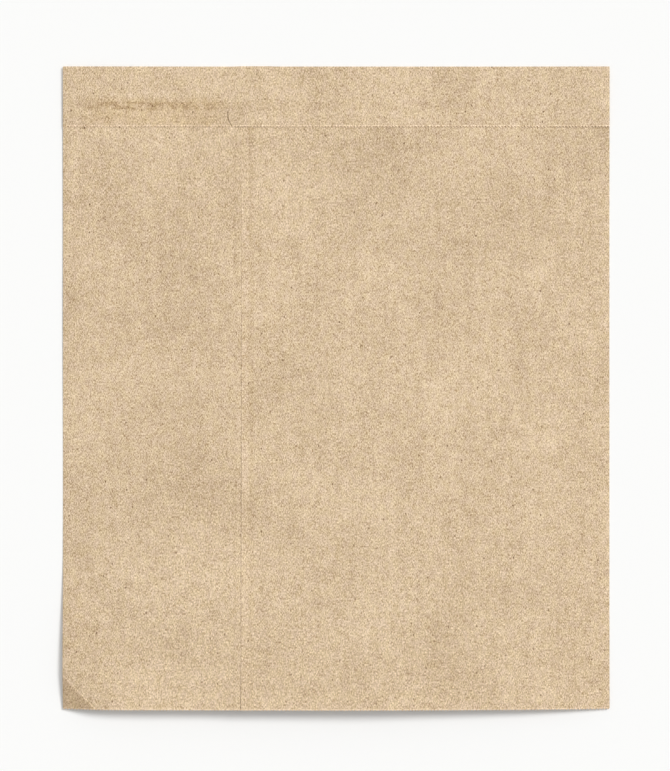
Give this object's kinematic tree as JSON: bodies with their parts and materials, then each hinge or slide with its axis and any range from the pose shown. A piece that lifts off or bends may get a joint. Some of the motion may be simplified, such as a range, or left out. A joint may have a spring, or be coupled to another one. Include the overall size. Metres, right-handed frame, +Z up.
{
  "type": "flat paper bag",
  "caption": "Flat brown kraft paper bag with a glued lengthwise seam, a folded and glued bottom flap and pinked edges, lying flat with its mouth slightly open.",
  "frame": {"origin": "on the surface that the bag lies on, under the middle of its outline", "axes": "+X across the bag, +Y along it from the mouth to the folded bottom, +Z up, with the seam and the bottom flap on the upper side"},
  "size_m": [0.255, 0.3, 0.0083],
  "materials": {
    "kraft_paper": "matt unbleached kraft paper, fine grain"
  },
  "bodies": {
    "root": {"paper_bag": "kraft_paper"}
  },
  "joints": []
}
